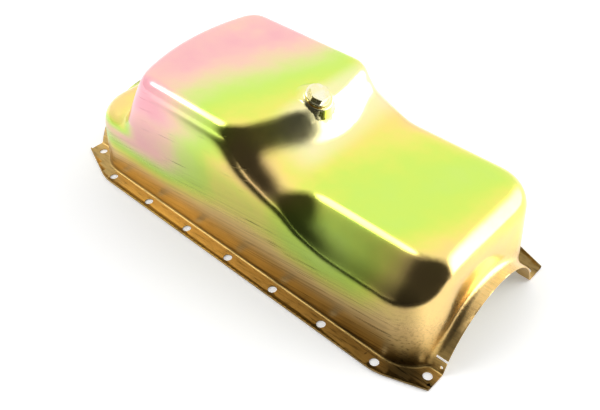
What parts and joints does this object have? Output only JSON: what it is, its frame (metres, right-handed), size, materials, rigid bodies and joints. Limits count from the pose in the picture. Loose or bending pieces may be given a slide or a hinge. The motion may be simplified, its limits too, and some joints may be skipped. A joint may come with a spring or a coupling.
{
  "type": "engine oil pan",
  "caption": "Deep-drawn steel engine oil pan with a rear sump, a shallow end with a starter scoop, a bolted flange, seal arches and a drain plug.",
  "frame": {"origin": "centre of the pan's length and width, on the underside of its flange", "axes": "+X along the engine towards the shallow end, +Y across it away from the scoop, +Z from the flange's underside up to the sump's floor, as the pan lies upside down on a bench"},
  "size_m": [0.547, 0.254, 0.1862],
  "materials": {
    "zinc_plated_sheet": "glossy iridescent yellow zinc plating on drawn steel, with draw scratches",
    "plated_plug": "pale yellow zinc plating",
    "sealing_ring": "soft copper, dull",
    "plain_steel_nut": "plated with the pan"
  },
  "bodies": {
    "pan": {"oil_pan": "zinc_plated_sheet", "drain_nut": "plain_steel_nut"},
    "ring": {"plug_gasket": "sealing_ring"},
    "plug": {"drain_plug": "plated_plug"}
  },
  "joints": [
    {"name": "plug_draw", "type": "slide", "parent": "pan", "child": "ring", "axis": [0.48, -0.08, 0.8736], "range_m": [0, 0.0144]},
    {"name": "plug_turn", "type": "hinge", "parent": "ring", "child": "plug", "pos_m": [0.03561, -0.00127, 0.17702], "axis": [0.48, -0.08, 0.8736], "range_deg": [0, 4104]}
  ],
  "couplings": [
    {"joint": "plug_turn", "follows": "plug_draw", "rad_per_m": 4947.4}
  ]
}
